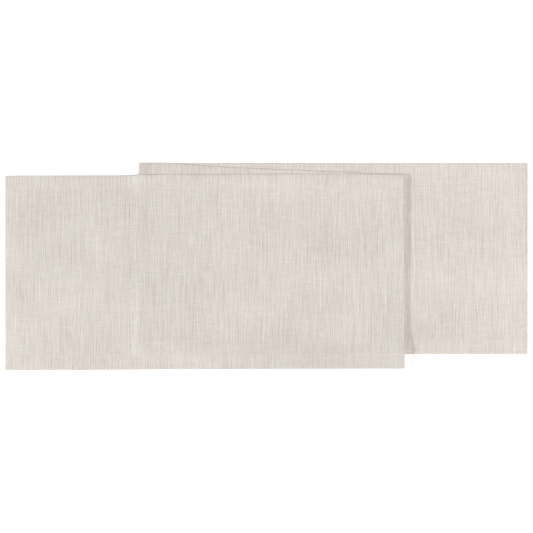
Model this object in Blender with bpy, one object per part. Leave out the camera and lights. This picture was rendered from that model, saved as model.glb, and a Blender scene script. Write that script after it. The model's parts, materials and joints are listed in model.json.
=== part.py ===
"""A table runner of natural slub cotton, hemmed on all four sides and folded in three runs.

Metres, +Z up. X runs along the cloth, Y across it, and the table is the plane Z = 0. The origin is
the middle of the folded runner's footprint. The bottom run lies face up. It turns over at the left
fold into the middle run, which lies face down, and that turns back at the right fold into the top
run, which lies face up. Past the left fold the top run goes on as its end, which drops to the table.
"""

from dataclasses import dataclass
from math import cos, pi, sin

import bmesh
import bpy
from mathutils import Matrix, Vector

# Lengths of the three runs, the runner's width, and how much wider the loose top run settles.
BOTTOM_LENGTH = 0.6683
MIDDLE_LENGTH = 0.4567
TOP_LENGTH = 0.6860
WIDTH = 0.3285
TOP_SPREAD = 0.0050

# The runs aren't laid quite square: how much nearer the front each place sits than the one before.
FOLD_SKEW = 0.0223
END_SKEW = 0.0022

# The cloth and its double-turned, mitred hems.
CLOTH = 0.00065
HEM_PLIES = 2
HEM_WIDTH = 0.0254
HEM_THICKNESS = HEM_PLIES * CLOTH

# Lockstitch rows: one needle thread on the face and one bobbin thread on the reverse.
THREAD = 0.0003
STITCH_MARGIN = 0.002
ROW_GAP = 0.001
STITCH_INSET = HEM_WIDTH - STITCH_MARGIN

# Clearances.
SEWN_GAP = 0.0003
LAYER_GAP = 0.0003
MITRE_GAP = 0.0004
THREAD_CLEARANCE = 0.0001
CUTTER_EXCESS = 0.0002

# Where the top run's end drops past the left fold.
DROP_START = 0.004
DROP_LENGTH = 0.045
DROP_STEPS = 8
BEND_STEPS = 12

# Worked-out sizes.
STACK = HEM_THICKNESS + SEWN_GAP + CLOTH
LEVEL = STACK + LAYER_GAP
GROOVE_WIDTH = THREAD + 2 * THREAD_CLEARANCE
GROOVE_DEPTH = THREAD + 1.5 * THREAD_CLEARANCE
FOLDED_LENGTH = BOTTOM_LENGTH - MIDDLE_LENGTH + TOP_LENGTH
LEFT_END = -FOLDED_LENGTH / 2
RIGHT_END = FOLDED_LENGTH / 2
RIGHT_FOLD = LEFT_END + TOP_LENGTH
LEFT_FOLD = RIGHT_FOLD - MIDDLE_LENGTH
DROP_LINE = LEFT_FOLD - DROP_START
TOP_WIDTH = WIDTH + TOP_SPREAD
BOTTOM_CENTRE = (FOLD_SKEW + END_SKEW) / 2 + TOP_SPREAD / 4
RIGHT_FOLD_CENTRE = BOTTOM_CENTRE - FOLD_SKEW
LEFT_END_CENTRE = RIGHT_FOLD_CENTRE - END_SKEW
DROP_LINE_CENTRE = RIGHT_FOLD_CENTRE - END_SKEW * (RIGHT_FOLD - DROP_LINE) / TOP_LENGTH
FOLD_AXIS_Z = STACK + LAYER_GAP / 2

# The middle run turns around the left bend, so it keeps clear of the bend's outside.
BEND_REACH = LAYER_GAP / 2 + CLOTH
TURNING_GAP = BEND_REACH + SEWN_GAP

FRONT = -1
BACK = 1
LEFT = -1
RIGHT = 1
SIDE_NAMES = {FRONT: "front", BACK: "back"}
CLOTH_COLOUR = "#E0D6CC"
HEM_COLOUR = "#DDD3C8"
THREAD_COLOUR = "#E8E0D6"


@dataclass(frozen=True)
class Run:
    """One length of the cloth: its ends along X, the centre line, width and gap at each end, and
    which end is free, if one is."""

    name: str
    ends: tuple
    centres: tuple
    widths: tuple
    gaps: tuple
    base: float
    free: int = 0
    face_up: bool = True
    drops: bool = False

    def edge(self, x, side, inset):
        """Y of the line that lies inset in from the front or back edge, at x."""
        share = (x - self.ends[0]) / (self.ends[1] - self.ends[0])
        centre = self.centres[0] + share * (self.centres[1] - self.centres[0])
        width = self.widths[0] + share * (self.widths[1] - self.widths[0])
        return centre + side * (width / 2 - inset)

    def span(self, free_inset, gap_inset):
        """Left and right of a piece, by its distance to the free end and past the other ends' gaps."""
        left = free_inset if self.free == LEFT else self.gaps[0] + gap_inset
        right = free_inset if self.free == RIGHT else self.gaps[1] + gap_inset
        return self.ends[0] + left, self.ends[1] - right

    def height(self, above_reverse):
        """Z of a layer, from its height above the reverse of the run."""
        if self.face_up:
            return self.base + above_reverse
        return self.base + STACK - above_reverse

    def stations(self):
        """Places along X where the run bends as it drops."""
        if not self.drops:
            return []
        return [DROP_LINE - DROP_LENGTH * step / DROP_STEPS for step in range(1, DROP_STEPS + 1)]

    def lift(self, x):
        """How far the run has dropped at x, a smooth step that ends with its reverse on the table."""
        if not self.drops:
            return 0.0
        share = min(max((DROP_LINE - x) / DROP_LENGTH, 0.0), 1.0)
        return -self.base * share * share * (3 - 2 * share)


BOTTOM = Run(
    name="bottom_run",
    ends=(LEFT_FOLD, RIGHT_END),
    centres=(BOTTOM_CENTRE, BOTTOM_CENTRE),
    widths=(WIDTH, WIDTH),
    gaps=(SEWN_GAP, 0.0),
    base=0.0,
    free=RIGHT,
)
MIDDLE = Run(
    name="middle_run",
    ends=(LEFT_FOLD, RIGHT_FOLD),
    centres=(BOTTOM_CENTRE, RIGHT_FOLD_CENTRE),
    widths=(WIDTH, TOP_WIDTH),
    gaps=(TURNING_GAP, TURNING_GAP),
    base=LEVEL,
    face_up=False,
)
TOP = Run(
    name="top_run",
    ends=(DROP_LINE, RIGHT_FOLD),
    centres=(DROP_LINE_CENTRE, RIGHT_FOLD_CENTRE),
    widths=(TOP_WIDTH, TOP_WIDTH),
    gaps=(SEWN_GAP / 2, SEWN_GAP),
    base=2 * LEVEL,
)
DROP = Run(
    name="drop",
    ends=(LEFT_END, DROP_LINE),
    centres=(LEFT_END_CENTRE, DROP_LINE_CENTRE),
    widths=(TOP_WIDTH, TOP_WIDTH),
    gaps=(0.0, SEWN_GAP / 2),
    base=2 * LEVEL,
    free=LEFT,
    drops=True,
)


def clear_scene():
    for leftover in list(bpy.data.objects):
        bpy.data.objects.remove(leftover, do_unlink=True)


def new_collection(name):
    collection = bpy.data.collections.new(name)
    bpy.context.scene.collection.children.link(collection)
    return collection


def linear(colour):
    """Linear RGBA from an sRGB hex colour."""
    channels = [int(colour[place : place + 2], 16) / 255 for place in (1, 3, 5)]
    return [c / 12.92 if c <= 0.04045 else ((c + 0.055) / 1.055) ** 2.4 for c in channels] + [1.0]


def cotton(name, colour, roughness):
    material = bpy.data.materials.new(name + " cotton")
    material.use_nodes = True
    shader = material.node_tree.nodes["Principled BSDF"]
    shader.inputs["Base Color"].default_value = linear(colour)
    shader.inputs["Roughness"].default_value = roughness
    shader.inputs["Metallic"].default_value = 0.0
    return material


def layer_mesh(name, run, corners, low, high):
    """A mesh of one layer of a run, between two heights above its reverse. The corners are front
    left, back left, front right and back right, each as (x, side, inset)."""
    shape = bmesh.new()
    bmesh.ops.create_cube(shape, size=1.0)
    bottom, top = sorted((run.height(low), run.height(high)))
    for vertex in shape.verts:
        x, side, inset = corners[2 * (vertex.co.x > 0) + (vertex.co.y > 0)]
        vertex.co = Vector((x, run.edge(x, side, inset), top if vertex.co.z > 0 else bottom))
    for station in run.stations():
        everything = shape.verts[:] + shape.edges[:] + shape.faces[:]
        bmesh.ops.bisect_plane(shape, geom=everything, plane_co=(station, 0, 0), plane_no=(1, 0, 0))
    for vertex in shape.verts:
        vertex.co.z += run.lift(vertex.co.x)
    mesh = bpy.data.meshes.new(name)
    shape.to_mesh(mesh)
    shape.free()
    return mesh


def layer(name, run, corners, low, high, colour):
    piece = bpy.data.objects.new(name, layer_mesh(name, run, corners, low, high))
    piece.data.materials.append(cotton(name, colour, 0.9))
    parts.objects.link(piece)
    return piece


def cut_groove(piece, name, run, corners, low, high):
    """Sinks a stitch row's groove into a layer."""
    cutter = bpy.data.objects.new(name, layer_mesh(name, run, corners, low, high))
    cutter.hide_render = True
    cutter.display_type = "WIRE"
    cutters.objects.link(cutter)
    groove = piece.modifiers.new(name, "BOOLEAN")
    groove.operation = "DIFFERENCE"
    groove.solver = "EXACT"
    groove.object = cutter


def thread(name, run, places, above_reverse):
    """A row of stitches as one thread along places, each (x, side, inset)."""
    curve = bpy.data.curves.new(name, "CURVE")
    curve.dimensions = "3D"
    curve.bevel_depth = THREAD / 2
    curve.bevel_resolution = 1
    curve.use_fill_caps = True
    spline = curve.splines.new("POLY")
    spline.points.add(len(places) - 1)
    for point, (x, side, inset) in zip(spline.points, places):
        height = run.height(above_reverse) + run.lift(x)
        point.co = (x, run.edge(x, side, inset), height, 1.0)
    row = bpy.data.objects.new(name, curve)
    curve.materials.append(cotton(name, THREAD_COLOUR, 0.7))
    parts.objects.link(row)
    return row


def stitch_row(run, row_name, cloth, hem, places, width_corners):
    """The needle thread on the face and the bobbin thread on the reverse, each in its groove."""
    needle = f"{run.name}_{row_name}_needle_thread"
    bobbin = f"{run.name}_{row_name}_bobbin_thread"
    face_floor = STACK - GROOVE_DEPTH
    cut_groove(cloth, needle + "_groove", run, width_corners, face_floor, STACK + CUTTER_EXCESS)
    cut_groove(hem, bobbin + "_groove", run, width_corners, -CUTTER_EXCESS, GROOVE_DEPTH)
    sunk = GROOVE_DEPTH - THREAD_CLEARANCE - THREAD / 2
    return [thread(needle, run, places, STACK - sunk), thread(bobbin, run, places, sunk)]


def side_hem(run, side):
    """One long hem: mitred at a free end, square at its other ends."""
    edge_left, edge_right = run.span(MITRE_GAP, 0.0)
    inner_left, inner_right = run.span(HEM_WIDTH + MITRE_GAP, 0.0)
    corners = []
    for edge_x, inner_x in ((edge_left, inner_left), (edge_right, inner_right)):
        pair = [(edge_x, side, 0.0), (inner_x, side, HEM_WIDTH)]
        corners += pair if side == FRONT else pair[::-1]
    name = f"{run.name}_{SIDE_NAMES[side]}_hem"
    return layer(name, run, corners, 0.0, HEM_THICKNESS, HEM_COLOUR)


def end_line(run, inset):
    """X of the line that lies inset in from the run's free end."""
    return run.ends[0] + inset if run.free == LEFT else run.ends[1] - inset


def end_hem(run):
    """The hem across a free end, mitred into both long hems."""
    edge = [(end_line(run, 0.0), side, 0.0) for side in (FRONT, BACK)]
    inner = [(end_line(run, HEM_WIDTH), side, HEM_WIDTH) for side in (FRONT, BACK)]
    corners = edge + inner if run.free == LEFT else inner + edge
    return layer(f"{run.name}_end_hem", run, corners, 0.0, HEM_THICKNESS, HEM_COLOUR)


def side_stitches(run, side, cloth, hem):
    left, right = run.span(STITCH_INSET + ROW_GAP, ROW_GAP)
    drops = [x for x in reversed(run.stations()) if left < x < right]
    places = [(x, side, STITCH_INSET) for x in [left, *drops, right]]
    half = GROOVE_WIDTH / 2
    near, far = STITCH_INSET - side * half, STITCH_INSET + side * half
    start, stop = left - THREAD_CLEARANCE, right + THREAD_CLEARANCE
    corners = [(start, side, far), (start, side, near), (stop, side, far), (stop, side, near)]
    return stitch_row(run, SIDE_NAMES[side], cloth, hem, places, corners)


def end_stitches(run, cloth, hem):
    line = end_line(run, STITCH_INSET)
    inset = STITCH_INSET + ROW_GAP
    places = [(line, FRONT, inset), (line, BACK, inset)]
    start, stop = line - GROOVE_WIDTH / 2, line + GROOVE_WIDTH / 2
    reach = inset - THREAD_CLEARANCE
    corners = [(x, side, reach) for x in (start, stop) for side in (FRONT, BACK)]
    return stitch_row(run, "end", cloth, hem, places, corners)


def build_run(run):
    """The cloth of a run, its hems and its stitch rows."""
    left, right = run.span(0.0, 0.0)
    corners = [(x, side, 0.0) for x in (left, right) for side in (FRONT, BACK)]
    low = HEM_THICKNESS + SEWN_GAP
    cloth = layer(f"{run.name}_cloth", run, corners, low, STACK, CLOTH_COLOUR)
    pieces = [cloth]
    for side in (FRONT, BACK):
        hem = side_hem(run, side)
        pieces += [hem, *side_stitches(run, side, cloth, hem)]
    if run.free:
        hem = end_hem(run)
        pieces += [hem, *end_stitches(run, cloth, hem)]
    return pieces


def fold_bend(name, x, centre, width, low, high, direction):
    """The cloth's turn at a fold: half a ring between two layers' middles, drawn in XZ and as wide
    as the cloth. It bulges towards direction along X."""
    middle = (low + high) / 2
    radius = (high - low) / 2
    steps = [pi * step / BEND_STEPS for step in range(BEND_STEPS + 1)]
    outer = [(direction * sin(a) * (radius + CLOTH / 2), cos(a) * (radius + CLOTH / 2)) for a in steps]
    inner = [(direction * sin(a) * (radius - CLOTH / 2), cos(a) * (radius - CLOTH / 2)) for a in steps]
    outline = outer + inner[::-1]
    curve = bpy.data.curves.new(name, "CURVE")
    curve.dimensions = "2D"
    curve.fill_mode = "BOTH"
    curve.extrude = width / 2
    spline = curve.splines.new("POLY")
    spline.points.add(len(outline) - 1)
    spline.use_cyclic_u = True
    for point, (across, up) in zip(spline.points, outline):
        point.co = (across, up, 0.0, 1.0)
    bend = bpy.data.objects.new(name, curve)
    bend.location = (x, centre, middle)
    bend.rotation_euler = (pi / 2, 0.0, 0.0)
    curve.materials.append(cotton(name, CLOTH_COLOUR, 0.9))
    parts.objects.link(bend)
    return bend


def cloth_middle(run):
    return run.height(STACK - CLOTH / 2)


def hinge(name, x, centre):
    """An empty on a fold's axis, which its moving pieces hang from."""
    axis = bpy.data.objects.new(name, None)
    axis.empty_display_size = 0.05
    axis.location = (x, centre, FOLD_AXIS_Z)
    parts.objects.link(axis)
    return axis


def hang(pieces, axis, place):
    for piece in pieces:
        piece.parent = axis
        piece.matrix_parent_inverse = Matrix.Translation(-place)


clear_scene()
parts = new_collection("table_runner")
cutters = new_collection("groove_cutters")

build_run(BOTTOM)
left_bend = fold_bend(
    "left_fold_bend",
    LEFT_FOLD,
    BOTTOM_CENTRE,
    WIDTH,
    cloth_middle(BOTTOM),
    cloth_middle(MIDDLE),
    -1,
)

middle_pieces = build_run(MIDDLE)
left_axis = hinge("left_fold_axis", LEFT_FOLD, BOTTOM_CENTRE)
hang(middle_pieces, left_axis, Vector(left_axis.location))

top_pieces = build_run(TOP) + build_run(DROP)
right_bend = fold_bend(
    "right_fold_bend",
    RIGHT_FOLD,
    RIGHT_FOLD_CENTRE,
    TOP_WIDTH,
    cloth_middle(MIDDLE),
    cloth_middle(TOP),
    1,
)
right_axis = hinge("right_fold_axis", RIGHT_FOLD, RIGHT_FOLD_CENTRE)
hang([*top_pieces, right_bend], right_axis, Vector(right_axis.location))
hang([right_axis], left_axis, Vector(left_axis.location))
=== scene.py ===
"""A hemmed table runner of natural slub cotton, folded in three runs and laid on a pale table.

The cloth is worked out from its own coordinates: s runs along it from the bottom run's free end to
the top run's, and v across it from its centre line. A pile of height fields says how each run lies
on the ones below, and every thread, hem and stitch is placed on that one surface.
"""

import json
import math

import bpy
import numpy as np
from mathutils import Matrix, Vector


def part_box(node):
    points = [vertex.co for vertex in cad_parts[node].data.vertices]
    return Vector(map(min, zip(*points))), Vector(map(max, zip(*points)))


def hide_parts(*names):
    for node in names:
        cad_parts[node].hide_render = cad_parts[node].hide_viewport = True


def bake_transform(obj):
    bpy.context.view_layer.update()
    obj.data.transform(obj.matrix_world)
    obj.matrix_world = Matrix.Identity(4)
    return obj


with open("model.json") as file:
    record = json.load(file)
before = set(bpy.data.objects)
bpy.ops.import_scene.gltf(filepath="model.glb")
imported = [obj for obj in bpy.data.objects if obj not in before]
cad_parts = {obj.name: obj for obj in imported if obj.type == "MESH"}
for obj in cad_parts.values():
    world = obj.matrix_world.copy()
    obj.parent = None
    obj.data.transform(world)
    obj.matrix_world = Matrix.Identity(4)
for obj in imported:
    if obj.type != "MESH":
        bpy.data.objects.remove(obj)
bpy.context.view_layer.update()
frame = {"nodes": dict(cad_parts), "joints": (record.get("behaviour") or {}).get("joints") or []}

MM = 0.001

# The cloth. An edge turns under at the radius HEM_TURN, pressed to this share of a round turn.
PLY = 0.65 * MM
HEM_PLIES = 2
HEM_TURN = PLY
HEM_WIDTH = (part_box("bottom_run_end_hem")[1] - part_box("bottom_run_end_hem")[0]).x
PRESSED = 0.5
EDGE_BULGE = PRESSED * (HEM_TURN + PLY / 2)
STITCH_INSET = HEM_WIDTH - 2 * MM

# The pile's height fields. The bobbin threads under the bottom run's hems touch the table, and the
# middle run holds the top run up a little way past its own turns. The sag is how sharply a hanging
# sheet curves, in 1/m, and the softening is in cells.
THREAD_GAP = 0.3 * MM
CELL = 2.5 * MM
FIELD_MARGIN = 30 * MM
FIELD_HALF_WIDTH = 0.18
MIDDLE_OVERHANG = 5 * MM
SETTLING_STEPS = 600
SAG_CURVATURE = 12.0
LOOSENESS = 0.15 * MM
SOFTENING = 1.0

# Each run's own soft relief: random seed, height, and the spreads of its bumps.
BOTTOM_RELIEF = (11, 0.5 * MM, (9 * MM, 26 * MM))
MIDDLE_RELIEF = (12, 0.5 * MM, (9 * MM, 30 * MM))
TOP_RELIEF = (13, 0.9 * MM, (10 * MM, 24 * MM, 48 * MM))

# The two folds' loops: half their height, how far they reach out, and how far from the fold the cloth
# above them comes down. The left one is pressed nearly flat, and the right one stands open with a
# blunt nose.
LEFT_LOOP = 0.9 * MM
LEFT_REACH = 1.2 * MM
LEFT_PUFF_LENGTH = 22 * MM
RIGHT_LOOP = 1.95 * MM
RIGHT_REACH = 1.1 * MM
RIGHT_PUFF_LENGTH = 60 * MM

# The right loop's shape from front to back: how much taller it is at each side, as a share, and how
# much it is pinched at its two ends.
FRONT_SWELL = 1.05
FRONT_SWELL_LENGTH = 40 * MM
BACK_SWELL = 0.3
BACK_SWELL_LENGTH = 16 * MM
END_PINCH = 0.4
END_PINCH_LENGTH = 7 * MM

# How the middle run drifts to the front: shares of its length, and of the whole drift.
MIDDLE_DRIFT = [(0.0, 0.0), (0.12, 0.02), (0.19, 0.15), (0.31, 0.33), (0.58, 0.61), (1.0, 1.0)]
DRIFT_SOFTENING = 16 * MM

# How the top run lies by its distance from the right fold: what its width gains, and how far its
# centre line bows to the back. It is eased a little where it lies on the pile.
TOP_PLACES = [0.0, 0.15, 0.43, 0.48]
TOP_EASE = [0.0, 1.6 * MM, 1.6 * MM, 0.7 * MM]
TOP_BOW = [0.0, 0.6 * MM, 0.6 * MM, -0.3 * MM]

# Mesh steps. The rows lie close together in the loops and a little way past them.
STEP_ALONG = 3.0 * MM
STEP_ACROSS = 3.0 * MM
STEP_IN_LOOP = 0.35 * MM
LOOP_MARGIN = 4 * MM
TURN_STEPS = 6
HEM_STEPS = 6
# The mitre at the free end skews the side hems' rows, less and less over this length.
MITRE_REACH = 90 * MM

# Stitching.
STITCH_PITCH = 3.2 * MM
STITCH_LENGTH = 2.5 * MM
THREAD_RADIUS = 0.17 * MM
# How high a stitch's middle stands and how deep its ends dive, in thread radii, and how much thinner
# the ends are, as a share.
STITCH_RISE = 0.4
STITCH_DIVE = 1.6
STITCH_TAPER = 0.35
STITCH_RINGS = 5
THREAD_SIDES = 6

# Where the runner lies, read from the frame.
JOINTS = {joint["name"]: joint for joint in frame["joints"]}
LEFT_FOLD = JOINTS["left_fold"]["pos_m"][0]
RIGHT_FOLD = JOINTS["right_fold"]["pos_m"][0]


def across(node):
    """Centre line and width, in Y, of a node that is as wide as the cloth."""
    low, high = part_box(node)
    return (low.y + high.y) / 2, high.y - low.y


BOTTOM_CENTRE, BOTTOM_WIDTH = across("left_fold_bend")
FOLD_CENTRE, TOP_WIDTH = across("right_fold_bend")
END_CENTRE = across("drop_end_hem")[0]
RIGHT_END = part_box("bottom_run_end_hem")[1].x - EDGE_BULGE
LEFT_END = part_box("drop_end_hem")[0].x + EDGE_BULGE

# Where the runs end and the loops start. The hems lie outside the face at the left fold, and inside it
# at the right one.
LEFT_TURN = LEFT_FOLD + LEFT_REACH + PLY / 2 + HEM_PLIES * PLY
RIGHT_TURN = RIGHT_FOLD - RIGHT_REACH - PLY / 2

# Places along the cloth: the ends of each run and loop.
S_LEFT = RIGHT_END - LEFT_TURN
S_MIDDLE = S_LEFT + math.pi * math.hypot(LEFT_LOOP, LEFT_REACH) / math.sqrt(2)
S_RIGHT = S_MIDDLE + RIGHT_TURN - LEFT_TURN
S_TOP = S_RIGHT + math.pi * math.hypot(RIGHT_LOOP, RIGHT_REACH) / math.sqrt(2)
S_END = S_TOP + RIGHT_TURN - LEFT_END
# The mesh is divided here, in the middle run close to the right fold, so that each part bends at one
# fold.
S_DIVIDE = S_RIGHT - 36 * MM


# ---------------------------------------------------------------- the pile


def smoothstep(share):
    share = np.clip(share, 0.0, 1.0)
    return share * share * (3 - 2 * share)


def drifted_centre_line():
    """Places along the cloth and the Y of its centre line there. The middle run leaves the left fold
    square to it and then swings to the front, soonest near the fold."""
    length_shares, drift_shares = np.array(MIDDLE_DRIFT).T
    middle = S_MIDDLE + (S_RIGHT - S_MIDDLE) * length_shares
    drift = BOTTOM_CENTRE + (FOLD_CENTRE - BOTTOM_CENTRE) * drift_shares
    places = np.concatenate([[0.0, S_LEFT], middle, [S_TOP, S_END]])
    centres = np.concatenate([[BOTTOM_CENTRE, BOTTOM_CENTRE], drift, [FOLD_CENTRE, END_CENTRE]])
    fine = np.arange(0.0, S_END + MM, MM)
    line = np.interp(fine, places, centres)
    line += np.interp(fine - S_TOP, TOP_PLACES, TOP_BOW)
    reach = int(DRIFT_SOFTENING / MM)
    kernel = np.hanning(2 * reach + 1)
    padded = np.pad(line, reach, mode="edge")
    return fine, np.convolve(padded, kernel / kernel.sum(), mode="valid")


DRIFT_PLACES, DRIFT_LINE = drifted_centre_line()


def centre_line(s):
    """Y of the cloth's centre line at s."""
    return np.interp(s, DRIFT_PLACES, DRIFT_LINE)


def half_width(s):
    """Half the width of the face, between the lines where its edges start to turn under."""
    width = np.interp(s, [S_MIDDLE, S_RIGHT], [BOTTOM_WIDTH, TOP_WIDTH])
    return (width + np.interp(s - S_TOP, TOP_PLACES, TOP_EASE)) / 2 - EDGE_BULGE


FIELD_X = np.arange(LEFT_END - FIELD_MARGIN, RIGHT_END + FIELD_MARGIN, CELL)
FIELD_Y = np.arange(-FIELD_HALF_WIDTH - FIELD_MARGIN, FIELD_HALF_WIDTH + FIELD_MARGIN, CELL)
GRID_X, GRID_Y = np.meshgrid(FIELD_X, FIELD_Y, indexing="ij")


def sample(field, x, y):
    """The field's value at points between its cells."""
    i = np.clip((x - FIELD_X[0]) / CELL, 0, len(FIELD_X) - 1.001)
    j = np.clip((y - FIELD_Y[0]) / CELL, 0, len(FIELD_Y) - 1.001)
    cell_i, cell_j = i.astype(int), j.astype(int)
    a, b = i - cell_i, j - cell_j
    low = field[cell_i, cell_j] * (1 - b) + field[cell_i, cell_j + 1] * b
    high = field[cell_i + 1, cell_j] * (1 - b) + field[cell_i + 1, cell_j + 1] * b
    return low * (1 - a) + high * a


def blurred(field, spread):
    """The field softened by a Gaussian of that spread, in cells."""
    reach = int(3 * spread) + 1
    kernel = np.exp(-0.5 * (np.arange(-reach, reach + 1) / spread) ** 2)
    kernel /= kernel.sum()
    for axis in (0, 1):
        padding = [(reach, reach) if a == axis else (0, 0) for a in (0, 1)]
        padded = np.pad(field, padding, mode="edge")
        turned = np.moveaxis(padded, axis, 0)
        total = sum(k * turned[n : n + field.shape[axis]] for n, k in enumerate(kernel))
        field = np.moveaxis(total, 0, axis)
    return field


def unevenness(seed, height, spreads):
    """Random soft relief between 0 and height, made of layers of bumps with those spreads."""
    random = np.random.default_rng(seed)
    relief = np.zeros(GRID_X.shape)
    for spread in spreads:
        layer = blurred(random.standard_normal(GRID_X.shape), spread / CELL)
        relief += layer / layer.std()
    relief /= relief.std()
    return height * np.clip(0.5 + 0.25 * relief, 0.0, 1.0)


def settled(obstacle):
    """A sheet laid on the obstacle: it rests on what is high and hangs in a shallow curve between."""
    drop = SAG_CURVATURE * CELL * CELL / 4
    sheet = obstacle.copy()
    for _ in range(SETTLING_STEPS):
        padded = np.pad(sheet, 1, mode="edge")
        mean = (padded[2:, 1:-1] + padded[:-2, 1:-1] + padded[1:-1, 2:] + padded[1:-1, :-2]) / 4
        sheet = np.maximum(obstacle, mean - drop)
    return blurred(sheet, SOFTENING)


def inset_in(s, ends):
    """How far in from the nearest edge the grid's points lie in a run. ends are the run's free ends."""
    side = half_width(s) - np.abs(GRID_Y - centre_line(s))
    return np.minimum(side, ends)


def crease(start, end, depth, width):
    """A soft furrow in the height field along the line from start to end, in x and y."""
    a, b = np.array(start), np.array(end)
    along = b - a
    share = ((GRID_X - a[0]) * along[0] + (GRID_Y - a[1]) * along[1]) / (along @ along)
    share = np.clip(share, 0.0, 1.0)
    away = np.hypot(GRID_X - a[0] - share * along[0], GRID_Y - a[1] - share * along[1])
    return -depth * np.exp(-0.5 * (away / width) ** 2)


def loop_swell():
    """How much taller than usual the right fold's loop is, by its place across the cloth: it swells
    over the stacked hems, most at the front, and is pinched at its two ends."""
    centre, half = centre_line(S_TOP), half_width(S_TOP)
    from_front = GRID_Y - (centre - half)
    from_back = (centre + half) - GRID_Y
    front = FRONT_SWELL * smoothstep(1 - (from_front - HEM_WIDTH) / FRONT_SWELL_LENGTH)
    back = BACK_SWELL * smoothstep(1 - (from_back - HEM_WIDTH / 2) / BACK_SWELL_LENGTH)
    from_end = np.minimum(from_front, from_back) + EDGE_BULGE
    pinch = END_PINCH * smoothstep(1 - from_end / END_PINCH_LENGTH)
    return (1 + front + back) * (1 - pinch)


def pile_up():
    """The middle surfaces of the face ply in the bottom, middle and top runs."""
    hem = HEM_PLIES * PLY
    bottom_inset = inset_in(RIGHT_END - GRID_X, np.minimum(RIGHT_END - GRID_X, GRID_X - LEFT_FOLD))
    bottom_hem_inset = inset_in(RIGHT_END - GRID_X, RIGHT_END - GRID_X)
    lies_there = bottom_inset > -EDGE_BULGE
    under = np.where(lies_there & (bottom_hem_inset < HEM_WIDTH), hem, 0.0)
    under = under + unevenness(*BOTTOM_RELIEF)
    bottom = settled(under) + PLY / 2 + THREAD_GAP
    ground = np.where(lies_there, bottom + PLY / 2, 0.0)

    middle_s = S_MIDDLE + GRID_X - LEFT_TURN
    past_folds = np.minimum(GRID_X - LEFT_TURN, RIGHT_TURN - GRID_X) + MIDDLE_OVERHANG
    middle_inset = inset_in(middle_s, past_folds)
    left_puff = smoothstep(1 - (GRID_X - LEFT_TURN) / LEFT_PUFF_LENGTH)
    under = ground + LOOSENESS + unevenness(*MIDDLE_RELIEF)
    under = np.maximum(under, bottom - PLY / 2 + 2 * LEFT_LOOP * left_puff)
    middle = settled(under) + PLY / 2
    side_hem = inset_in(middle_s, 1.0) < HEM_WIDTH
    upper = middle + PLY / 2 + np.where(side_hem, hem, 0.0)
    ground = np.where(middle_inset > -EDGE_BULGE, upper, ground)

    top_s = S_TOP + RIGHT_TURN - GRID_X
    top_inset = inset_in(top_s, GRID_X - LEFT_END)
    right_puff = smoothstep(1 - (RIGHT_TURN - GRID_X) / RIGHT_PUFF_LENGTH)
    under = ground + np.where(top_inset < HEM_WIDTH, hem, 0.0) + LOOSENESS
    under = under + unevenness(*TOP_RELIEF)
    under = np.maximum(under, middle - PLY / 2 + 2 * RIGHT_LOOP * loop_swell() * right_puff)
    top = settled(under) + PLY / 2
    for line in TOP_CREASES:
        top += crease(*line)
    for line in BOTTOM_CREASES:
        bottom += crease(*line)
    return bottom, middle, top


# The furrow over a mitre: where it starts and ends, measured in from the corner along each edge, how
# deep it is and how wide.
MITRE_START = 7 * MM
MITRE_END = HEM_WIDTH + 2 * MM
MITRE_DEPTH = 0.35 * MM
MITRE_SPREAD = 2.2 * MM


def mitre_crease(x, y, toward_x, toward_y):
    """The furrow that a mitred corner's seam leaves on the face, from near the corner inwards."""
    start = (x + toward_x * MITRE_START, y + toward_y * MITRE_START)
    end = (x + toward_x * MITRE_END, y + toward_y * MITRE_END)
    return start, end, MITRE_DEPTH, MITRE_SPREAD


# Creases pressed in by folding and handling: start, end, depth and width, in metres.
TOP_CREASES = [
    ((-0.178, -0.100), (-0.164, -0.172), 0.5 * MM, 4 * MM),
    ((-0.005, 0.113), (0.028, 0.114), 0.4 * MM, 5 * MM),
    ((-0.417, 0.045), (-0.409, -0.058), 0.3 * MM, 4 * MM),
    ((-0.250, 0.060), (-0.205, -0.060), 0.4 * MM, 16 * MM),
    ((0.060, -0.120), (0.170, -0.150), 0.4 * MM, 14 * MM),
]
BOTTOM_CREASES = [
    ((0.398, 0.030), (0.399, 0.008), 0.35 * MM, 4 * MM),
    ((0.300, -0.060), (0.345, -0.110), 0.3 * MM, 14 * MM),
]
for side in (-1, 1):
    top_corner = END_CENTRE + side * half_width(S_END)
    bottom_corner = BOTTOM_CENTRE + side * half_width(0.0)
    TOP_CREASES.append(mitre_crease(LEFT_END, top_corner, 1, -side))
    BOTTOM_CREASES.append(mitre_crease(RIGHT_END, bottom_corner, -1, -side))
BOTTOM_FIELD, MIDDLE_FIELD, TOP_FIELD = pile_up()


# ---------------------------------------------------------------- the cloth's surface


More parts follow.
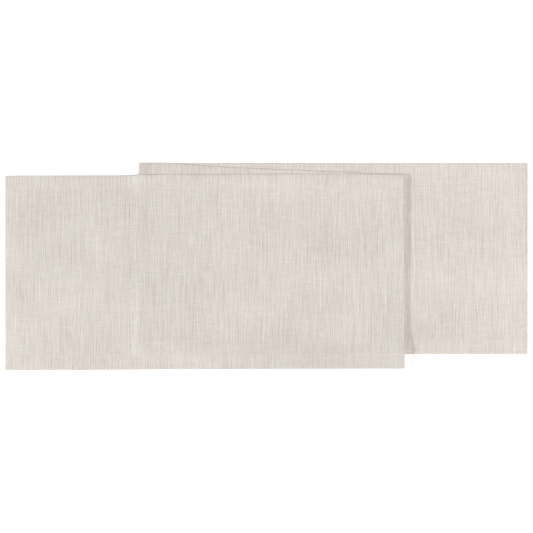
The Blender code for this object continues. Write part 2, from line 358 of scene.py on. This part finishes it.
def face_point(s, v):
    """The point of the face ply's middle at s along the cloth and v across it."""
    y = centre_line(s) + v
    left_angle = math.pi * np.clip((s - S_LEFT) / (S_MIDDLE - S_LEFT), 0.0, 1.0)
    right_angle = math.pi * np.clip((s - S_RIGHT) / (S_TOP - S_RIGHT), 0.0, 1.0)
    conditions = [s < S_LEFT, s < S_MIDDLE, s < S_RIGHT, s < S_TOP]
    x = np.select(
        conditions,
        [
            RIGHT_END - s,
            LEFT_TURN - LEFT_REACH * np.sin(left_angle),
            LEFT_TURN + s - S_MIDDLE,
            RIGHT_TURN + RIGHT_REACH * np.sin(right_angle),
        ],
        RIGHT_TURN - (s - S_TOP),
    )
    at_left, at_right = np.full_like(y, LEFT_TURN), np.full_like(y, RIGHT_TURN)
    left_low, left_high = sample(BOTTOM_FIELD, at_left, y), sample(MIDDLE_FIELD, at_left, y)
    right_low, right_high = sample(MIDDLE_FIELD, at_right, y), sample(TOP_FIELD, at_right, y)
    z = np.select(
        conditions,
        [
            sample(BOTTOM_FIELD, x, y),
            (left_low + left_high) / 2 - np.cos(left_angle) * (left_high - left_low) / 2,
            sample(MIDDLE_FIELD, x, y),
            (right_low + right_high) / 2 - np.cos(right_angle) * (right_high - right_low) / 2,
        ],
        sample(TOP_FIELD, x, y),
    )
    return np.stack([x, y, z], axis=-1)


def unit(vectors):
    return vectors / np.linalg.norm(vectors, axis=-1, keepdims=True)


def place(s, v, depth):
    """The point at s and v, and depth under the middle of the face ply. Past the face's edges it
    goes straight on."""
    step = 0.2 * MM
    limit = half_width(s)
    s_near, v_near = np.clip(s, 0.0, S_END), np.clip(v, -limit, limit)
    point = face_point(s_near, v_near)
    along = unit(face_point(s_near + step, v_near) - face_point(s_near - step, v_near))
    aside = unit(face_point(s_near, v_near + step) - face_point(s_near, v_near - step))
    normal = unit(np.cross(aside, along))
    point = point + along * (s - s_near)[..., None] + aside * (v - v_near)[..., None]
    return point - normal * depth[..., None]


def hem_profile(offset):
    """(inset from the face's edge, depth) along a turned hem, for a surface offset outwards from the
    ply's middle: round the edge, then under the cloth."""
    turns = math.pi * np.arange(1, TURN_STEPS + 1) / TURN_STEPS
    radius = HEM_TURN + offset
    under = HEM_WIDTH * np.arange(1, HEM_STEPS + 1) / HEM_STEPS
    insets = np.concatenate([-PRESSED * radius * np.sin(turns), under])
    depths = np.concatenate([HEM_TURN - radius * np.cos(turns), np.full(HEM_STEPS, HEM_TURN + radius)])
    return insets, depths


def rows_between(start, stop):
    """Places along the cloth between two ends, close together in the loops."""
    left_loop = [S_LEFT - LOOP_MARGIN, S_MIDDLE + LOOP_MARGIN]
    right_loop = [S_RIGHT - LOOP_MARGIN, S_TOP + LOOP_MARGIN]
    marks = [0.0] + left_loop + right_loop + [S_END]
    steps = [STEP_ALONG, STEP_IN_LOOP, STEP_ALONG, STEP_IN_LOOP, STEP_ALONG]
    found = []
    for low, high, step in zip(marks, marks[1:], steps):
        low, high = max(low, start), min(high, stop)
        if high > low:
            found.append(np.linspace(low, high, max(2, round((high - low) / step)))[:-1])
    return np.append(np.concatenate(found), stop)


class ClothPart:
    """A length of the hemmed cloth as one closed mesh, with a free end at s_free and its other end at
    s_cut. Each surface is the face, a turned hem on each side and one across the free end."""

    def __init__(self, s_free, s_cut):
        low, high = min(s_free, s_cut), max(s_free, s_cut)
        rows = rows_between(low, high)
        self.rows = rows if s_free < s_cut else rows[::-1]
        self.inward = 1.0 if s_free < s_cut else -1.0
        self.s_free = s_free
        columns = int(round(BOTTOM_WIDTH / STEP_ACROSS)) + 1
        self.shares = np.linspace(-1.0, 1.0, columns)
        self.points, self.flat, self.faces = [], [], []
        self.count = 0

    def add(self, s, v, depth):
        """Adds points and returns their numbers, in the shape of s."""
        self.points.append(place(s.ravel(), v.ravel(), depth.ravel()))
        self.flat.append(np.stack([s.ravel(), v.ravel(), -depth.ravel()], axis=-1))
        numbers = np.arange(self.count, self.count + s.size).reshape(s.shape)
        self.count += s.size
        return numbers

    def quads(self, grid, flip):
        """Faces between neighbours of a grid of point numbers."""
        corners = [grid[:-1, :-1], grid[1:, :-1], grid[1:, 1:], grid[:-1, 1:]]
        quads = np.stack(corners, axis=-1).reshape(-1, 4)
        self.faces.append(quads[:, ::-1] if flip else quads)

    def surface(self, offset, flip):
        """One skin of the cloth: face, side hems and end hem. Returns the numbers along its rims."""
        rows, shares = self.rows, self.shares
        s = np.repeat(rows[:, None], len(shares), axis=1)
        v = shares[None, :] * half_width(rows)[:, None]
        face = self.add(s, v, np.full(s.shape, -offset))
        self.quads(face, flip)
        insets, depths = hem_profile(offset)
        hems = {}
        for side, column in ((-1, 0), (1, -1)):
            from_end = np.abs(rows - self.s_free)
            shift = insets[None, :] * np.clip(1 - from_end / MITRE_REACH, 0.0, 1.0)[:, None]
            s = rows[:, None] + self.inward * shift
            v = side * (half_width(rows)[:, None] - insets[None, :])
            added = self.add(s, v, np.repeat(depths[None, :], len(rows), axis=0))
            hems[side] = np.concatenate([face[:, column][:, None], added], axis=1)
            self.quads(hems[side], flip if side > 0 else not flip)
        inner = shares[1:-1]
        line = np.repeat((self.s_free + self.inward * insets)[:, None], len(inner), axis=1)
        v = (half_width(np.array([self.s_free])) - insets)[:, None] * inner[None, :]
        added = self.add(line, v, np.repeat(depths[:, None], len(inner), axis=1))
        corners = [hems[-1][0, 1:][:, None], added, hems[1][0, 1:][:, None]]
        end = np.concatenate([face[:1, :], np.concatenate(corners, axis=1)], axis=0)
        self.quads(end, not flip)
        cut = np.concatenate([hems[-1][-1, ::-1], face[-1, 1:-1], hems[1][-1, :]])
        hem_line = np.concatenate([hems[-1][::-1, -1], end[-1, 1:-1], hems[1][:, -1]])
        return cut, hem_line

    def build(self, name, material):
        flip = self.inward < 0
        outer = self.surface(PLY / 2, flip)
        inner = self.surface(-PLY / 2, not flip)
        self.quads(np.stack([outer[0], inner[0]]), not flip)
        self.quads(np.stack([outer[1], inner[1]]), flip)
        return cloth_mesh(name, self.points, self.flat, self.faces, material)


# The hems are painted a little lighter than the single cloth, along the back and at both ends:
# painted light on their raised bands, with a little of the three plies' own tone.
HEM_LIGHTNESS = 0.022
HEM_SOFTNESS = 4 * MM

# Broad patches painted lighter or darker: painted light and shade for the slopes, folds and shadows of
# the pile, with some of the yarn's own uneven tone. Each is middle (s, v), spread along and across the
# runner, and amount.
TONE_AND_PAINTED_LIGHT_PATCHES = [
    (0.030, 0.0, 110 * MM, 400 * MM, 0.034),
    (S_MIDDLE + 0.060, 0.150, 70 * MM, 30 * MM, -0.016),
    (S_MIDDLE + 0.004, 0.150, 16 * MM, 40 * MM, -0.095),
    (0.250, 0.160, 60 * MM, 16 * MM, 0.026),
    (S_TOP + 0.024, -0.100, 15 * MM, 85 * MM, -0.045),
    (S_TOP + 0.430, -0.030, 26 * MM, 160 * MM, -0.022),
    (S_TOP + 0.150, -0.160, 130 * MM, 40 * MM, -0.055),
    (S_TOP + 0.190, 0.165, 140 * MM, 22 * MM, -0.040),
    (S_END, -0.130, 150 * MM, 70 * MM, 0.034),
    (S_TOP + 0.560, 0.100, 60 * MM, 50 * MM, -0.012),
]


def tone_and_painted_light_of(flat):
    """How much lighter or darker the cloth is painted, from place to place, than its usual tone:
    painted light and shade along the hems and in broad patches, with some of the yarn's own tone.
    """
    s, v = flat[:, 0], flat[:, 1]
    inset = np.minimum(half_width(s) - v, np.minimum(s, S_END - s))
    tone_and_painted_light = HEM_LIGHTNESS * smoothstep((HEM_WIDTH - inset) / HEM_SOFTNESS)
    for middle_s, middle_v, along, aside, amount in TONE_AND_PAINTED_LIGHT_PATCHES:
        away = ((s - middle_s) / along) ** 2 + ((v - middle_v) / aside) ** 2
        tone_and_painted_light += amount * np.exp(-0.5 * away)
    return tone_and_painted_light


def linked_mesh(name, points, faces, material):
    """A smooth mesh object in the scene, from an array of points and a list of faces."""
    mesh = bpy.data.meshes.new(name)
    mesh.from_pydata(points.tolist(), [], faces)
    mesh.shade_smooth()
    mesh.materials.append(material)
    piece = bpy.data.objects.new(name, mesh)
    bpy.context.scene.collection.objects.link(piece)
    return piece


def cloth_mesh(name, points, flat, faces, material):
    """A mesh from lists of points, of the same points on the flat cloth, and of four-sided faces.
    The flat places are kept as the UV map, in metres, for the weave to follow."""
    points, flat = np.concatenate(points), np.concatenate(flat)
    piece = linked_mesh(name, points, np.concatenate(faces).tolist(), material)
    mesh = piece.data
    corner_points = np.zeros(len(mesh.loops), dtype=np.int32)
    mesh.loops.foreach_get("vertex_index", corner_points)
    layer = mesh.uv_layers.new(name="flat_cloth")
    layer.data.foreach_set("uv", flat[corner_points][:, :2].astype(np.float32).ravel())
    # The painted light and shade, with the yarn's broad tone, is kept on each point for the material.
    tone_and_painted_light = mesh.attributes.new("tone_and_painted_light", "FLOAT", "POINT")
    tone_and_painted_light.data.foreach_set("value", tone_and_painted_light_of(flat).astype(np.float32))
    return piece, points, flat


def bend_between(made):
    """Puts a piece's points on its flat places, bakes its transform, puts the points back, and returns
    the piece.
    """
    piece, points, flat = made
    piece.data.vertices.foreach_set("co", flat.astype(np.float32).ravel())
    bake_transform(piece)
    piece.data.vertices.foreach_set("co", points.astype(np.float32).ravel())
    piece.data.update()
    return piece


# ---------------------------------------------------------------- stitching


def stitch_row(s, v, direction, under, depth):
    """One row of stitches as short threads, each rising out of the cloth and diving back. s and v are
    the stitches' middles, direction is (1, 0) along the cloth or (0, 1) across it."""
    reach = np.linspace(-1.0, 1.0, STITCH_RINGS)
    angles = 2 * math.pi * np.arange(THREAD_SIDES) / THREAD_SIDES
    dive = reach**4
    height = THREAD_RADIUS * (STITCH_RISE * (1 - dive) - STITCH_DIVE * dive)
    swell = THREAD_RADIUS * (1 - STITCH_TAPER * dive)
    forward = reach * STITCH_LENGTH / 2
    shape = (len(s), STITCH_RINGS, THREAD_SIDES)
    sideways = swell[None, :, None] * np.cos(angles)[None, None, :]
    upright = height[None, :, None] + swell[None, :, None] * np.sin(angles)[None, None, :]
    ahead = np.broadcast_to(forward[None, :, None], shape)
    sideways, upright = np.broadcast_to(sideways, shape), np.broadcast_to(upright, shape)
    ring_s = s[:, None, None] + direction[0] * ahead + direction[1] * sideways
    ring_v = v[:, None, None] + direction[1] * ahead + direction[0] * sideways
    sign = 1.0 if under else -1.0
    ring_depth = depth + sign * upright
    points = place(ring_s.ravel(), ring_v.ravel(), ring_depth.ravel())
    flat = np.stack([ring_s.ravel(), ring_v.ravel(), -ring_depth.ravel()], axis=-1)
    numbers = np.arange(len(points)).reshape(shape)
    ahead_of = np.roll(numbers, -1, axis=2)
    sides = np.stack([numbers[:, :-1], ahead_of[:, :-1], ahead_of[:, 1:], numbers[:, 1:]], axis=-1)
    return points, flat, sides.reshape(-1, 4), numbers[:, 0], numbers[:, -1]


def stitching(name, s_free, s_cut, material):
    """Needle and bobbin rows along both side hems and the end hem of a part of the cloth."""
    low, high = min(s_free, s_cut), max(s_free, s_cut)
    inward = 1.0 if s_free < s_cut else -1.0
    corner = s_free + inward * STITCH_INSET
    start, stop = sorted((corner + inward * STITCH_PITCH / 2, s_cut))
    along = np.arange(start + STITCH_PITCH / 2, stop - STITCH_PITCH / 2, STITCH_PITCH)
    end_half = half_width(np.array([corner]))[0] - STITCH_INSET
    across_end = np.arange(-end_half + STITCH_PITCH / 2, end_half, STITCH_PITCH)
    rows = []
    for side in (-1, 1):
        rows.append((along, side * (half_width(along) - STITCH_INSET), (1, 0)))
    rows.append((np.full_like(across_end, corner), across_end, (0, 1)))
    points, flat, faces, count = [], [], [], 0
    for s, v, direction in rows:
        for under, depth in ((False, -PLY / 2), (True, 2 * HEM_TURN + PLY / 2)):
            new_points, new_flat, sides, first, last = stitch_row(s, v, direction, under, depth)
            points.append(new_points)
            flat.append(new_flat)
            faces += (sides + count).tolist()
            faces += (first + count).tolist()
            faces += (last[:, ::-1] + count).tolist()
            count += len(new_points)
    points, flat = np.concatenate(points), np.concatenate(flat)
    return linked_mesh(name, points, faces, material), points, flat


# ---------------------------------------------------------------- materials


def linear(colour):
    """Linear RGBA from an sRGB hex colour."""
    channels = [int(colour[first : first + 2], 16) / 255 for first in (1, 3, 5)]
    return [c / 12.92 if c <= 0.04045 else ((c + 0.055) / 1.055) ** 2.4 for c in channels] + [1.0]


def add_node(tree, kind, settings=None, **inputs):
    """Adds a node with its settings. Each input is a value, a socket, or a node whose first output is
    taken; _0 is the first input, and so on."""
    node = tree.nodes.new(kind)
    for name, value in (settings or {}).items():
        setattr(node, name, value)
    for name, value in inputs.items():
        socket = node.inputs[int(name[1:])] if name[0] == "_" else node.inputs[name.replace("_", " ")]
        value = value.outputs[0] if isinstance(value, bpy.types.Node) else value
        if isinstance(value, bpy.types.NodeSocket):
            tree.links.new(value, socket)
        else:
            socket.default_value = value
    return node


def new_material(name):
    material = bpy.data.materials.new(name)
    material.use_nodes = True
    tree = material.node_tree
    return material, tree, tree.nodes["Principled BSDF"]


def yarn_tone(tree, yarn_number, along, length, shift, detail=3.0, roughness=0.7):
    """A tone from 0 to 1 that wanders along each yarn, over about that length, and starts afresh on
    the next yarn."""
    # The yarns are read from lines this far apart in the noise, so that neighbours share nothing.
    row = add_node(
        tree, "ShaderNodeMath", {"operation": "MULTIPLY_ADD"}, _0=yarn_number, _1=5.37, _2=shift
    )
    stretch = add_node(tree, "ShaderNodeMath", {"operation": "DIVIDE"}, _0=along, _1=length)
    spot = add_node(tree, "ShaderNodeCombineXYZ", X=row, Y=stretch)
    return add_node(
        tree,
        "ShaderNodeTexNoise",
        {"noise_dimensions": "2D"},
        Vector=spot,
        Scale=1.0,
        Detail=detail,
        Roughness=roughness,
    )


def cloud(tree, flat_place, along, aside, shift, detail=2.0):
    """Soft patches that measure about along by aside on the flat cloth, in metres."""
    spot = add_node(
        tree,
        "ShaderNodeMapping",
        Vector=flat_place,
        Location=(shift, shift, 0),
        Scale=(1 / along, 1 / aside, 1),
    )
    return add_node(
        tree, "ShaderNodeTexNoise", {"noise_dimensions": "2D"}, Vector=spot, Scale=1.0, Detail=detail
    )


def weighted(tree, terms):
    """The sum of (value, weight) pairs about one half, where each value varies about one half."""
    total = 0.5
    for value, weight in terms:
        middle = add_node(tree, "ShaderNodeMath", {"operation": "SUBTRACT"}, _0=value, _1=0.5)
        total = add_node(
            tree, "ShaderNodeMath", {"operation": "MULTIPLY_ADD"}, _0=middle, _1=weight, _2=total
        )
    return total


def slub_cotton():
    """Natural slub cotton, plain woven from uneven yarn and washed: each weft yarn wanders between
    lighter and darker on its own, which gives short streaks across the runner, finer warp yarns give
    a faint cross grain, and the surface is fully matt. The colour also carries painted shade beside
    each slub, and the broad painted light and shade kept on the mesh."""
    material, tree, shader = new_material("slub_cotton")
    flat_place = add_node(tree, "ShaderNodeUVMap", {"uv_map": "flat_cloth"})
    flat_axes = add_node(tree, "ShaderNodeSeparateXYZ", Vector=flat_place)
    s, v = flat_axes.outputs[0], flat_axes.outputs[1]
    # Real yarns lie about 0.7 mm apart; they are drawn wider, as coarse as they need to be to show.
    weft_count = add_node(tree, "ShaderNodeMath", {"operation": "DIVIDE"}, _0=s, _1=1.3 * MM)
    weft_number = add_node(tree, "ShaderNodeMath", {"operation": "FLOOR"}, _0=weft_count)
    warp_count = add_node(tree, "ShaderNodeMath", {"operation": "DIVIDE"}, _0=v, _1=1.5 * MM)
    warp_number = add_node(tree, "ShaderNodeMath", {"operation": "FLOOR"}, _0=warp_count)
    # A slub is a thick soft place in the yarn, 15 to 50 mm long. The yarn beside it lies deeper and
    # is painted darker: painted shade from the slub.
    yarn_before = add_node(tree, "ShaderNodeMath", {"operation": "SUBTRACT"}, _0=weft_number, _1=1.0)
    weft = yarn_tone(tree, weft_number, v, 70 * MM, 0.31, detail=4.0, roughness=0.72)
    weft_before_for_painted_shade = yarn_tone(tree, yarn_before, v, 70 * MM, 0.31, detail=4.0, roughness=0.72)
    warp = yarn_tone(tree, warp_number, s, 32 * MM, 0.77)
    fibre = cloud(tree, flat_place, 1.4 * MM, 2.2 * MM, 3.1, detail=1.0)
    mottle = cloud(tree, flat_place, 90 * MM, 90 * MM, 1.9, detail=0.0)
    tone = weighted(
        tree, [(weft, 1.35), (weft_before_for_painted_shade, -0.5), (warp, 0.42), (fibre, 0.12), (mottle, 0.16)]
    )
    yarn_colour = add_node(tree, "ShaderNodeValToRGB", _0=tone)
    ramp = yarn_colour.color_ramp
    ramp.elements[0].position, ramp.elements[0].color = 0.0, linear("#B2ABA5")
    ramp.elements[1].position, ramp.elements[1].color = 1.0, linear("#E4DED9")
    ramp.elements.new(0.5).color = linear("#CEC8C3")
    warmth = cloud(tree, flat_place, 20 * MM, 40 * MM, 6.6)
    warm_share = add_node(tree, "ShaderNodeMath", {"operation": "MULTIPLY"}, _0=warmth, _1=0.3)
    # The mix node's inputs 6 and 7 are its two colours.
    tinted = add_node(
        tree,
        "ShaderNodeMix",
        {"data_type": "RGBA", "blend_type": "MULTIPLY"},
        _0=warm_share,
        _6=yarn_colour,
        _7=linear("#F6EEE2"),
    )
    # Painted light and shade: the base colour is scaled by the per-point attribute of painted light,
    # shade and broad yarn tone.
    tone_and_painted_light = add_node(tree, "ShaderNodeAttribute", {"attribute_name": "tone_and_painted_light"}).outputs["Fac"]
    light = add_node(tree, "ShaderNodeMath", {"operation": "ADD"}, _0=tone_and_painted_light, _1=1.0)
    shaded = add_node(
        tree, "ShaderNodeVectorMath", {"operation": "SCALE"}, Vector=tinted.outputs[2], Scale=light
    )
    tree.links.new(shaded.outputs[0], shader.inputs["Base Color"])
    # Each yarn is a rounded ridge that rises over one crossing and dips under the next.
    round_weft = add_node(tree, "ShaderNodeMath", {"operation": "PINGPONG"}, _0=weft_count, _1=0.5)
    round_warp = add_node(tree, "ShaderNodeMath", {"operation": "PINGPONG"}, _0=warp_count, _1=0.5)
    weave = add_node(tree, "ShaderNodeMath", {"operation": "MULTIPLY"}, _0=round_weft, _1=round_warp)
    relief = weighted(tree, [(weft, 1.2), (warp, 0.5), (weave, 1.0)])
    bump = add_node(tree, "ShaderNodeBump", Height=relief, Strength=0.35, Distance=0.25 * MM)
    tree.links.new(bump.outputs[0], shader.inputs["Normal"])
    shader.inputs["Roughness"].default_value = 0.92
    shader.inputs["Specular IOR Level"].default_value = 0.2
    shader.inputs["Sheen Weight"].default_value = 0.06
    shader.inputs["Sheen Roughness"].default_value = 0.6
    return material


def sewing_thread():
    """Ecru spun cotton sewing thread, two-ply: a shade lighter than the cloth, with a soft lustre."""
    material, tree, shader = new_material("sewing_thread")
    spot = add_node(tree, "ShaderNodeTexCoord").outputs["Object"]
    plies = add_node(tree, "ShaderNodeTexNoise", Vector=spot, Scale=1 / (0.6 * MM), Detail=1.0)
    colour = add_node(tree, "ShaderNodeValToRGB", _0=plies.outputs["Fac"])
    colour.color_ramp.elements[0].color = linear("#CFC4B8")
    colour.color_ramp.elements[1].color = linear("#EAE1D8")
    tree.links.new(colour.outputs[0], shader.inputs["Base Color"])
    bump = add_node(
        tree, "ShaderNodeBump", Height=plies.outputs["Fac"], Strength=0.3, Distance=0.05 * MM
    )
    tree.links.new(bump.outputs[0], shader.inputs["Normal"])
    shader.inputs["Roughness"].default_value = 0.7
    return material


def matt_board():
    """White painted board, matt, with the faintest unevenness of its rolled paint."""
    material, tree, shader = new_material("matt_board")
    spot = add_node(tree, "ShaderNodeTexCoord").outputs["Object"]
    paint = add_node(tree, "ShaderNodeTexNoise", Vector=spot, Scale=2.0, Detail=1.0)
    colour = add_node(tree, "ShaderNodeValToRGB", _0=paint.outputs["Fac"])
    colour.color_ramp.elements[0].color = linear("#FDFDFD")
    colour.color_ramp.elements[1].color = linear("#FFFFFF")
    tree.links.new(colour.outputs[0], shader.inputs["Base Color"])
    shader.inputs["Roughness"].default_value = 0.95
    shader.inputs["Specular IOR Level"].default_value = 0.1
    return material


# ---------------------------------------------------------------- setting


CAMERA_LENS = 85.0
CAMERA_SENSOR = 36.0
VIEW_WIDTH = 0.9168
VIEW_PLANE = 1 * MM
TABLE_REACH = 4.0


def add_camera():
    """Straight above the runner, with the runner's length across the picture."""
    lens = bpy.data.cameras.new("camera")
    lens.lens = CAMERA_LENS
    lens.sensor_width = CAMERA_SENSOR
    camera = bpy.data.objects.new("camera", lens)
    camera.location = (0, 0, VIEW_PLANE + VIEW_WIDTH * CAMERA_LENS / CAMERA_SENSOR)
    bpy.context.scene.collection.objects.link(camera)
    bpy.context.scene.camera = camera


def add_softbox(name, azimuth, elevation, distance, size, power, colour):
    """A round softbox aimed at the runner. Azimuth 0 is to the right and 90 behind, in degrees."""
    azimuth, elevation = math.radians(azimuth), math.radians(elevation)
    level = math.cos(elevation)
    direction = Vector((level * math.cos(azimuth), level * math.sin(azimuth), math.sin(elevation)))
    softbox = bpy.data.lights.new(name, "AREA")
    softbox.shape = "DISK"
    softbox.size = size
    softbox.energy = power
    softbox.color = linear(colour)[:3]
    lamp = bpy.data.objects.new(name, softbox)
    lamp.location = direction * distance
    lamp.rotation_euler = (-direction).to_track_quat("-Z", "Y").to_euler()
    bpy.context.scene.collection.objects.link(lamp)


def add_room():
    """A dim room whose walls are white paper up to a low height, as the world's colour."""
    world = bpy.data.worlds.new("room")
    world.use_nodes = True
    tree = world.node_tree
    direction = add_node(tree, "ShaderNodeTexCoord").outputs["Generated"]
    height = add_node(tree, "ShaderNodeSeparateXYZ", Vector=direction).outputs["Z"]
    walls = add_node(tree, "ShaderNodeValToRGB", _0=height)
    low_end, high_end = walls.color_ramp.elements
    low_end.position, low_end.color = 0.16, linear("#F9F9F9")
    high_end.position, high_end.color = 0.34, linear("#505050")
    tree.links.new(walls.outputs[0], tree.nodes["Background"].inputs["Color"])
    bpy.context.scene.world = world


def add_table():
    mesh = bpy.data.meshes.new("table_top")
    signs = [(-1, -1), (1, -1), (1, 1), (-1, 1)]
    corners = [(x * TABLE_REACH, y * TABLE_REACH, 0) for x, y in signs]
    mesh.from_pydata(corners, [], [(0, 1, 2, 3)])
    mesh.materials.append(matt_board())
    table = bpy.data.objects.new("table_top", mesh)
    bpy.context.scene.collection.objects.link(table)
    return table


add_camera()
# A small cool softbox low on the left gives the folds their edge, and a big warmer one overhead fills.
add_softbox("low_softbox", 191, 23, distance=10.0, size=0.64, power=633, colour="#F4FDFF")
add_softbox("overhead_softbox", -20, 73, distance=7.5, size=4.0, power=509, colour="#FFFCFA")
add_room()
bpy.context.scene.view_settings.view_transform = "Standard"
table = add_table()
cotton = slub_cotton()
thread = sewing_thread()

lower = ClothPart(0.0, S_DIVIDE).build("lower_cloth", cotton)
lower = bend_between(lower)
upper = ClothPart(S_END, S_DIVIDE).build("upper_cloth", cotton)
upper = bend_between(upper)
lower_stitches = stitching("lower_stitching", 0.0, S_DIVIDE, thread)
lower_stitches = bend_between(lower_stitches)
upper_stitches = stitching("upper_stitching", S_END, S_DIVIDE, thread)
upper_stitches = bend_between(upper_stitches)

for name in frame["nodes"]:
    if name.startswith(("bottom_run", "middle_run", "left_fold")):
        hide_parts(name)
    else:
        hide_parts(name)
